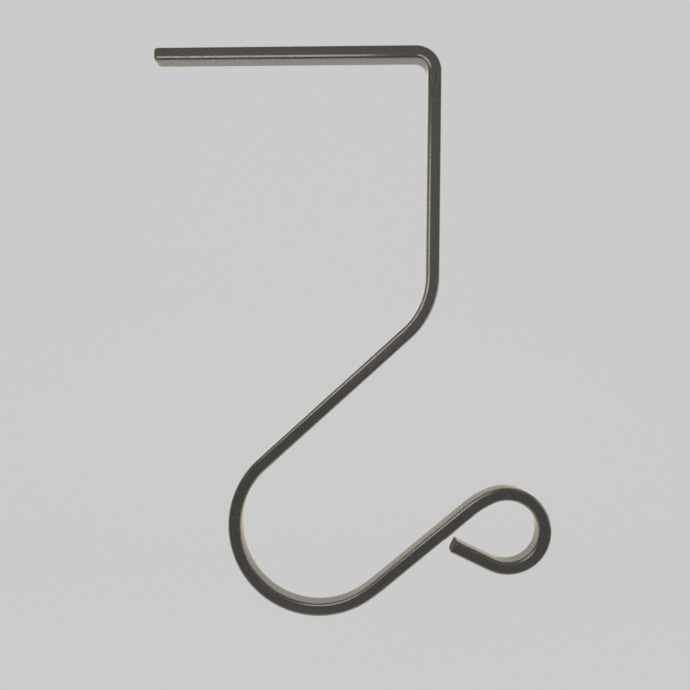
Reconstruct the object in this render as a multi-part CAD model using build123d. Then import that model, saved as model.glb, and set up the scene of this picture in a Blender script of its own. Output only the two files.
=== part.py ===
from build123d import *
import os

os.makedirs("parts", exist_ok=True)

# Mantel hook: one length of square bar with rounded edges, bent in a single plane.
# The arm lies on the shelf, the leg drops down its front, the diagonal runs back
# below it to the cradle, and the shank climbs from there to a closed eye.
# Origin: middle of the arm's flat underside, where it rests on the shelf.
# +Z is up as hung, +X out into the room, Y across the bar. Millimetres, degrees.
# Every bend radius is measured to the bar's centreline.

# Bar
bar_size = 4.76          # across the flats
edge_radius = 1.25       # the four long edges
tip_rounding = 0.96      # rounding of the arm's end, as a share of edge_radius
cut_edge = 0.25          # edge broken round the tail's cut end

# Arm, corner and leg
arm_length = 91.8        # tip to the start of the corner
corner_radius = 6.65
leg_length = 70.8

# Knee and diagonal
knee_radius = 26.7
knee_angle = 47.3
diagonal_length = 69.1

# Cradle and shank
cradle_radius = 29.4
cradle_angle = 172.6
release_radius = 69.4    # the cradle's easier last bend, into the shank
release_angle = 5.4
shank_length = 41.2

# Eye
lead_radius = 30.3       # the eye's easier first bend, out of the shank
lead_angle = 16.9
eye_radius = 13.0
eye_angle = 228.7
eye_gap = 2.8            # clear space between the cut end and the shank

half = bar_size / 2
room = Vector(1, 0, 0)
across = Vector(0, 1, 0)


def straight(start, direction, length):
    """Straight run of the centreline."""
    return Line(start, start + direction * length)


def bend(run, radius, angle):
    """Bend that carries on smoothly from a run, anticlockwise when the angle is positive."""
    side = Plane.XZ
    start, heading = side.to_local_coords(run @ 1), side.to_local_coords(run % 1)
    return side * JernArc(start, heading, radius, angle)


def tail_length(shank, eye):
    """Length that leaves the cut end's nearest corner eye_gap short of the shank."""
    along, out = shank % 1, eye % 1
    square = along.cross(across)
    reach = abs((eye @ 1 - shank @ 1).dot(square))
    return (reach - half - eye_gap - half * abs(out.dot(along))) / abs(out.dot(square))


def centreline():
    """Every run and bend in order, from the arm's tip to the tail's cut end."""
    flat = arm_length - tip_rounding * edge_radius
    arm = straight(Vector(flat / 2 - arm_length, 0, half), room, arm_length)
    corner = bend(arm, corner_radius, -90)
    leg = straight(corner @ 1, corner % 1, leg_length)
    knee = bend(leg, knee_radius, -knee_angle)
    diagonal = straight(knee @ 1, knee % 1, diagonal_length)
    cradle = bend(diagonal, cradle_radius, cradle_angle)
    release = bend(cradle, release_radius, release_angle)
    shank = straight(release @ 1, release % 1, shank_length)
    lead = bend(shank, lead_radius, -lead_angle)
    eye = bend(lead, eye_radius, -eye_angle)
    tail = straight(eye @ 1, eye % 1, tail_length(shank, eye))
    return [arm, corner, leg, knee, diagonal, cradle, release, shank, lead, eye, tail]


def swept_bar(runs):
    """The rounded square section carried along the whole centreline."""
    start = Plane(origin=runs[0] @ 0, x_dir=across, z_dir=room)
    section = start * RectangleRounded(bar_size, bar_size, edge_radius)
    return sweep(section, path=Wire([run.edge() for run in runs]))


def end_edges(body, point):
    """Edges round the end face that holds the given point."""
    return body.faces().sort_by_distance(point)[0].edges()


def hook_bar():
    """The whole hook, its arm's tip rounded over and its tail's cut edges broken."""
    runs = centreline()
    body = swept_bar(runs)
    body = fillet(end_edges(body, runs[0] @ 0), tip_rounding * edge_radius)
    return chamfer(end_edges(body, runs[-1] @ 1), cut_edge)


export_step(hook_bar(), "parts/hook_bar.step")
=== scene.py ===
import math

import bpy
from mathutils import Matrix, Vector


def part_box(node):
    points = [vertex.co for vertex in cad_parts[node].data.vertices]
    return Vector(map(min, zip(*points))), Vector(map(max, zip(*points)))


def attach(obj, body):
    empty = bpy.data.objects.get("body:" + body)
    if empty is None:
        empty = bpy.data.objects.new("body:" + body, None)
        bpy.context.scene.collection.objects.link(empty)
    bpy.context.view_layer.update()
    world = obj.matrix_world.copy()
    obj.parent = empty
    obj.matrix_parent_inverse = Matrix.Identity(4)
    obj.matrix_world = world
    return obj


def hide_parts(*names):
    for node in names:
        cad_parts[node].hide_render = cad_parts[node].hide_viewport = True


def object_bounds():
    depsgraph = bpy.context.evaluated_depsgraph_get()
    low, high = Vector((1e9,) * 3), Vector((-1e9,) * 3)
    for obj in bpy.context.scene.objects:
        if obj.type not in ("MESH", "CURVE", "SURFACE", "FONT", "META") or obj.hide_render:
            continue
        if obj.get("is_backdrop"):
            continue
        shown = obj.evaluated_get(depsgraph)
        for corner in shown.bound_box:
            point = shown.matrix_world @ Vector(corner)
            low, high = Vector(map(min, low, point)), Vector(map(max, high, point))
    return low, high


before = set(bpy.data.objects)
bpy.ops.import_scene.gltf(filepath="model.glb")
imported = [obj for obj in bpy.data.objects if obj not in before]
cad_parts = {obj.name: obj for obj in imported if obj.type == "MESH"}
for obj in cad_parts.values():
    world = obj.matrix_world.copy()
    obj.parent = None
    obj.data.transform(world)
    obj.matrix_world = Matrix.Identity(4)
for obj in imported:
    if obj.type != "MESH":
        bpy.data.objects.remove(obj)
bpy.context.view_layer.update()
print("frame loaded")


def hexColour(text):                       # an sRGB hex colour as linear light
    parts = [int(text[i:i + 2], 16) / 255 for i in (1, 3, 5)]
    return [c / 12.92 if c <= 0.04045 else ((c + 0.055) / 1.055) ** 2.4 for c in parts] + [1.0]


def addNode(tree, kind, links=None, **settings):   # links: input name or number to a value or an output
    node = tree.nodes.new(kind)
    for name, value in settings.items():
        setattr(node, name, value)
    for name, value in (links or {}).items():
        if isinstance(value, bpy.types.NodeSocket):
            tree.links.new(value, node.inputs[name])
        else:
            node.inputs[name].default_value = value
    return node


def newMaterial(name):
    material = bpy.data.materials.new(name)
    material.use_nodes = True
    material.node_tree.nodes.clear()
    return material


# The bar, drawn square with rounded edges and bent on the CAD node's centreline. Metres, degrees.

barSizes = {
    "across": 0.00476,          # over the flats
    "edgeRadius": 0.00125,      # the four long edges
    "edgeSteps": 8,             # faces round each long edge
    "runStep": 0.0012,          # one face along a straight
    "bendStep": 2.5,            # degrees of bend to one face
    "tipRounding": (0.0017, 0.0014),   # end of the arm, along the bar and across it
    "tipSteps": 7,
    "cutEdge": 0.00025,         # burr taken off the tail's cut end
    "route": [                  # straight, then bend radius and turn, anticlockwise positive
        (0.0918, 0.00665, -90.0),      # arm and corner
        (0.0708, 0.0267, -47.3),       # leg and knee
        (0.0691, 0.0294, 172.6),       # diagonal and cradle
        (0.0, 0.0694, 5.4),            # the cradle's easier last bend
        (0.0412, 0.0303, -16.9),       # shank and the way into the eye
        (0.0, 0.0130, -228.7),         # eye
    ],
    "tail": 0.0142248,
    "swell": 0.06,              # how much a bend thickens inside and thins outside
    "swellEase": 10,            # rings that it takes to come in
}


def deselectAll():
    if bpy.context.object and bpy.context.object.mode != "OBJECT":
        bpy.ops.object.mode_set(mode="OBJECT")
    bpy.ops.object.select_all(action="DESELECT")


def turned(vector, degrees):               # anticlockwise as seen from the front
    return Matrix.Rotation(math.radians(-degrees), 3, "Y") @ vector


def selectVerts(mesh, wanted):             # in edit mode, by a test on each vertex
    bpy.ops.object.mode_set(mode="OBJECT")
    for v in mesh.vertices:
        v.select = wanted(v)
    for e in mesh.edges:
        e.select = all(mesh.vertices[i].select for i in e.vertices)
    for f in mesh.polygons:
        f.select = all(mesh.vertices[i].select for i in f.vertices)
    bpy.ops.object.mode_set(mode="EDIT")


def makeBar():
    low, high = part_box("hook_bar")
    half = barSizes["across"] / 2
    place = Vector((low[0], 0, high[2] - half))
    heading = Vector((1, 0, 0))

    deselectAll()
    bpy.ops.mesh.primitive_plane_add(size=barSizes["across"], location=place,
                                     rotation=(0, math.radians(-90), 0))
    bar = bpy.context.object
    bar.name = "hookBar"
    bpy.ops.object.transform_apply(location=True, rotation=True, scale=True)
    bpy.ops.object.mode_set(mode="EDIT")
    bpy.ops.mesh.select_all(action="SELECT")
    bpy.ops.mesh.bevel(offset=barSizes["edgeRadius"], segments=barSizes["edgeSteps"],
                       profile=0.5, affect="VERTICES")
    bpy.ops.object.mode_set(mode="OBJECT")
    mesh = bar.data
    ring = len(mesh.vertices)
    # the bar before it was bent; its length comes out too long, see straight() below
    drawn = mesh.attributes.new("drawnBar", "FLOAT_VECTOR", "POINT")
    for v in mesh.vertices:
        drawn.data[v.index].vector = (0, v.co.y, v.co.z - place.z)
    bpy.ops.object.mode_set(mode="EDIT")
    bpy.ops.mesh.select_all(action="SELECT")

    lengths = roundTip(place, half)
    bends = []

    def straight(length):
        steps = max(1, round(length / barSizes["runStep"]))
        bpy.ops.mesh.extrude_repeat(steps=steps, offset=heading * (length / steps), scale_offset=1.0)
        # each ring adds to the one just listed, not to the start of the straight
        lengths.extend(lengths[-1] + length * (i + 1) / steps for i in range(steps))

    first = lengths[-1]
    place = place + heading * first
    for number, (length, radius, turn) in enumerate(barSizes["route"]):
        if length:
            run = length - first if number == 0 else length
            straight(run)
            place = place + heading * run
        side = turned(heading, 90 if turn > 0 else -90)
        centre = place + side * radius
        steps = round(abs(turn) / barSizes["bendStep"])
        bends.append((len(lengths) - 1, steps, radius, turn))
        bpy.ops.mesh.spin(steps=steps, angle=math.radians(turn), center=centre, axis=(0, 1, 0),
                          use_auto_merge=False, use_normal_flip=False)
        arc = radius * math.radians(abs(turn))
        lengths.extend(lengths[-1] + arc * (i + 1) / steps for i in range(steps))
        place = centre + turned(place - centre, turn)
        heading = turned(heading, turn)
    straight(barSizes["tail"])
    place = place + heading * barSizes["tail"]

    bpy.ops.object.mode_set(mode="OBJECT")
    drawn = mesh.attributes["drawnBar"]
    for v in mesh.vertices:
        drawn.data[v.index].vector.x = lengths[v.index // ring]
    print("bar drawn and bent:", len(lengths), "rings of", ring, "points")
    swellBends(mesh, ring, bends)
    finishEnds(mesh, place, heading)
    return bar


def roundTip(place, half):                 # rings that widen from the flat of the tip to the full bar
    deep, wide = barSizes["tipRounding"]
    reach, size = [], []
    for i in range(barSizes["tipSteps"] + 1):
        turn = math.pi / 2 * i / barSizes["tipSteps"]
        reach.append(deep * (1 - math.cos(turn)))
        size.append(1 - wide / half * (1 - math.sin(turn)))
    bpy.ops.transform.resize(value=(1, size[0], size[0]), center_override=place)
    for i in range(1, len(size)):
        wider = size[i] / size[i - 1]
        bpy.ops.mesh.extrude_region_move(TRANSFORM_OT_translate={"value": (reach[i] - reach[i - 1], 0, 0)})
        bpy.ops.transform.resize(value=(1, wider, wider), center_override=place)
    return reach


def swellBends(mesh, ring, bends):         # a bend squeezes the bar thicker inside and thinner outside
    offset = [d.vector.z for d in mesh.attributes["drawnBar"].data]
    for start, steps, radius, turn in bends:
        strain = barSizes["swell"] * barSizes["across"] / radius
        for side in (-1, 1):
            inside = (turn > 0) == (side > 0)
            ease = barSizes["swellEase"]
            factor = (1 + strain if inside else 1 - strain) ** (1 / ease)
            for trim in range(ease):
                rings = range(start + trim, start + steps + 1 - trim)
                selectVerts(mesh, lambda v: v.index // ring in rings
                            and offset[v.index] * side > barSizes["across"] / 10)
                bpy.ops.transform.resize(value=(1, factor, 1), center_override=(0, 0, 0))
    bpy.ops.object.mode_set(mode="OBJECT")


def finishEnds(mesh, end, heading):
    selectVerts(mesh, lambda v: abs((v.co - end).dot(heading)) < 1e-6
                and (v.co - end).length < barSizes["across"])
    bpy.ops.mesh.bevel(offset=barSizes["cutEdge"], segments=2, profile=0.5, affect="EDGES")
    bpy.ops.mesh.select_all(action="SELECT")
    bpy.ops.mesh.normals_make_consistent(inside=False)
    bpy.ops.object.mode_set(mode="OBJECT")
    bpy.ops.object.shade_smooth_by_angle(angle=math.radians(50))
    bpy.ops.object.modifier_add(type="WEIGHTED_NORMAL")     # keeps the four flats flat to the eye
    bpy.context.object.modifiers[-1].keep_sharp = True
    bpy.ops.object.modifier_apply(modifier=bpy.context.object.modifiers[-1].name)


bar = makeBar()
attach(bar, "root")
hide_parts("hook_bar")


# Satin nickel over drawn steel: a dark warm grey metal with a soft sheen, and the fine lines
# that the drawing die leaves along the bar.

nickelLook = {
    "metal": "#83807a",
    "deep": "#5a5752",          # in the drawn lines
    "cut": "#3f3a35",           # the sawn end, left raw
    "grazing": "#fff4e6",       # the warm cast of its edges-on sheen
    "roughness": 0.2,
    "cutRoughness": 0.55,
    "lineWidth": 0.30,          # mm across one drawn line, as coarse as it needs to show
    "lineLength": 16.0,         # along it, in the drawnBar length, which runs ahead of the real one
    "lineContrast": (0.32, 0.66),      # share of the noise from deep to metal
    "lineBump": 0.6,
    "lineDepth": 0.006,         # mm
    "cutFrom": 5e-5,            # metres of the end that count as the sawn face
}


def nickelPlate(cutAt):
    m = newMaterial("satin nickel plate on drawn steel")
    t = m.node_tree
    place = addNode(t, "ShaderNodeAttribute", attribute_name="drawnBar").outputs["Vector"]
    fine = 1000 / nickelLook["lineWidth"]
    stretch = (1000 / nickelLook["lineLength"], fine, fine)
    along = addNode(t, "ShaderNodeMapping", {"Vector": place, "Scale": stretch})
    lines = addNode(t, "ShaderNodeTexNoise", {"Vector": along.outputs[0], "Scale": 1.0, "Detail": 4.0,
                                              "Roughness": 0.65})
    low, high = nickelLook["lineContrast"]
    strong = addNode(t, "ShaderNodeMapRange", {0: lines.outputs[0], 1: low, 2: high})
    colour = addNode(t, "ShaderNodeMix", {0: strong.outputs[0], 6: hexColour(nickelLook["deep"]),
                                          7: hexColour(nickelLook["metal"])}, data_type="RGBA").outputs[2]
    length = addNode(t, "ShaderNodeSeparateXYZ", {0: place}).outputs["X"]
    sawn = addNode(t, "ShaderNodeMath", {0: length, 1: cutAt - nickelLook["cutFrom"]},
                   operation="GREATER_THAN").outputs[0]
    colour = addNode(t, "ShaderNodeMix", {0: sawn, 6: colour, 7: hexColour(nickelLook["cut"])},
                     data_type="RGBA").outputs[2]
    rough = addNode(t, "ShaderNodeMapRange", {0: sawn, 3: nickelLook["roughness"],
                                              4: nickelLook["cutRoughness"]})
    bump = addNode(t, "ShaderNodeBump", {"Height": lines.outputs[0], "Strength": nickelLook["lineBump"],
                                         "Distance": nickelLook["lineDepth"] / 1000})
    shader = addNode(t, "ShaderNodeBsdfPrincipled", {"Base Color": colour, "Metallic": 1.0,
                                                     "Specular Tint": hexColour(nickelLook["grazing"]),
                                                     "Roughness": rough.outputs[0],
                                                     "Normal": bump.outputs[0]})
    addNode(t, "ShaderNodeOutputMaterial", {"Surface": shader.outputs[0]})
    return m


bar.data.materials.clear()
barEnd = max(d.vector.x for d in bar.data.attributes["drawnBar"].data)
bar.data.materials.append(nickelPlate(barEnd))
print("bar finished")


# The stage: pale floor and backdrop in one sweep, soft boxes and the camera.

stageLook = {
    "pale": "#cccccc",
    "level": 1.09,              # evens the paper out against the room's light
    "floorDrop": 0.06,          # below the hook's lowest point
    "wallBack": 0.35,           # behind the hook
    "width": 8,
    "height": 4,
    "sweepRadius": 0.2,         # floor into backdrop
    "shadow": 0.15,             # share of real light and shade that the floor shows
    "paintedNearShade": 0.55,          # painted shade: how dim the near floor glows, only in the bar's reflections
    "nearFrom": (-0.09, -0.02),        # where it goes over to the far paper
    "paintedReflectionGlow": 2.7,             # painted reflection: how bright the paper glows, only in the bar's reflections, above the light that falls on it
}


def paleSweep():
    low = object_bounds()[0]
    floor, wall = low[2] - stageLook["floorDrop"], stageLook["wallBack"]
    deselectAll()
    bpy.ops.mesh.primitive_plane_add(size=1, location=(0, 0, floor))
    sweep = bpy.context.object
    sweep.name = "paleSweep"
    sweep.scale = (stageLook["width"], stageLook["width"], 1)
    bpy.ops.object.transform_apply(location=True, rotation=True, scale=True)
    mesh = sweep.data
    for v in mesh.vertices:
        if v.co.y > 0:
            v.co.y = wall
    back = max(v.co.y for v in mesh.vertices) - 1e-4
    selectVerts(mesh, lambda v: v.co.y > back)
    bpy.ops.mesh.extrude_region_move(TRANSFORM_OT_translate={"value": (0, 0, stageLook["height"])})
    corner = floor + 1e-4
    selectVerts(mesh, lambda v: v.co.y > back and v.co.z < corner)
    bpy.ops.mesh.bevel(offset=stageLook["sweepRadius"], segments=16, profile=0.5, affect="EDGES")
    bpy.ops.object.mode_set(mode="OBJECT")
    bpy.ops.object.shade_smooth()
    return sweep


def palePaper():
    m = newMaterial("pale backdrop paper")
    t = m.node_tree
    pale = hexColour(stageLook["pale"])
    ray = addNode(t, "ShaderNodeLightPath")
    seen = addNode(t, "ShaderNodeMath", {0: ray.outputs["Is Camera Ray"], 1: ray.outputs["Is Glossy Ray"]},
                   operation="MAXIMUM")
    seen = addNode(t, "ShaderNodeMath", {0: seen.outputs[0], 1: ray.outputs["Is Transmission Ray"]},
                   operation="MAXIMUM")
    paper = addNode(t, "ShaderNodeBsdfDiffuse", {"Color": pale})
    depth = addNode(t, "ShaderNodeSeparateXYZ", {0: addNode(t, "ShaderNodeTexCoord").outputs["Object"]})
    start, stop = stageLook["nearFrom"]
    # painted reflection and painted shade: glossy rays see the paper glow, dim near the front and bright
    # behind, lit by no lamp
    paintedReflectionLevel = addNode(t, "ShaderNodeMapRange", {0: depth.outputs["Y"], 1: start, 2: stop,
                                                 3: stageLook["paintedNearShade"], 4: stageLook["paintedReflectionGlow"]},
                       interpolation_type="SMOOTHSTEP")
    glow = addNode(t, "ShaderNodeMapRange", {0: ray.outputs["Is Camera Ray"], 3: paintedReflectionLevel.outputs[0],
                                             4: stageLook["level"]})
    flat = addNode(t, "ShaderNodeEmission", {"Color": pale, "Strength": glow.outputs[0]})
    keep = addNode(t, "ShaderNodeMath", {0: seen.outputs[0], 1: 1 - stageLook["shadow"]},
                   operation="MULTIPLY")
    mix = addNode(t, "ShaderNodeMixShader", {0: keep.outputs[0], 1: paper.outputs[0], 2: flat.outputs[0]})
    addNode(t, "ShaderNodeOutputMaterial", {"Surface": mix.outputs[0]})
    return m


sweep = paleSweep()
sweep.data.materials.append(palePaper())
sweep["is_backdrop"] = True

roomLight = {
    "behind": 1.0,              # towards the pale wall
    "ahead": 0.42,              # the darker side of the room, where the camera stands
    "softBoxes": [              # name, centre, aims at, width, height, brightness
        ("keyBox", (-0.085, -0.20, -0.01), (-0.085, 0, -0.01), 0.24, 0.18, 1.7),
        ("sideBox", (0.36, -0.10, -0.20), (0.06, 0, -0.16), 0.15, 0.30, 1.2),
    ],
}


def lightRoom():
    world = bpy.data.worlds.new("studio room")
    bpy.context.scene.world = world
    world.use_nodes = True
    t = world.node_tree
    t.nodes.clear()
    direction = addNode(t, "ShaderNodeTexCoord").outputs["Generated"]
    depth = addNode(t, "ShaderNodeSeparateXYZ", {0: direction}).outputs["Y"]
    level = addNode(t, "ShaderNodeMapRange", {0: depth, 1: -0.3, 2: 0.6, 3: roomLight["ahead"],
                                              4: roomLight["behind"]}, interpolation_type="SMOOTHSTEP")
    glow = addNode(t, "ShaderNodeBackground", {"Color": hexColour("#ffffff"), "Strength": level.outputs[0]})
    addNode(t, "ShaderNodeOutputWorld", {"Surface": glow.outputs[0]})
    for name, centre, aim, width, height, glow in roomLight["softBoxes"]:
        lamp = bpy.data.lights.new(name, "AREA")
        lamp.shape, lamp.size, lamp.size_y = "RECTANGLE", width, height
        lamp.energy = glow * math.pi * width * height      # watts for that brightness
        box = bpy.data.objects.new(name, lamp)
        box.location = centre
        box.rotation_euler = (Vector(aim) - Vector(centre)).to_track_quat("-Z", "Y").to_euler()
        box.visible_camera = False
        bpy.context.collection.objects.link(box)


lightRoom()

cameraView = {
    "place": (0.025367, -0.143998, -0.097347),
    "angles": (89.318, -0.490, 1.492),
    "lens": 21.263,
}
camera = bpy.data.objects.new("camera", bpy.data.cameras.new("camera"))
camera.location = cameraView["place"]
camera.rotation_euler = [math.radians(a) for a in cameraView["angles"]]
camera.data.lens = cameraView["lens"]
camera.data.sensor_width = 36
camera.data.clip_start = 0.005
bpy.context.collection.objects.link(camera)
bpy.context.scene.camera = camera
bpy.context.scene.view_settings.view_transform = "Standard"
print("stage, lights and camera set")
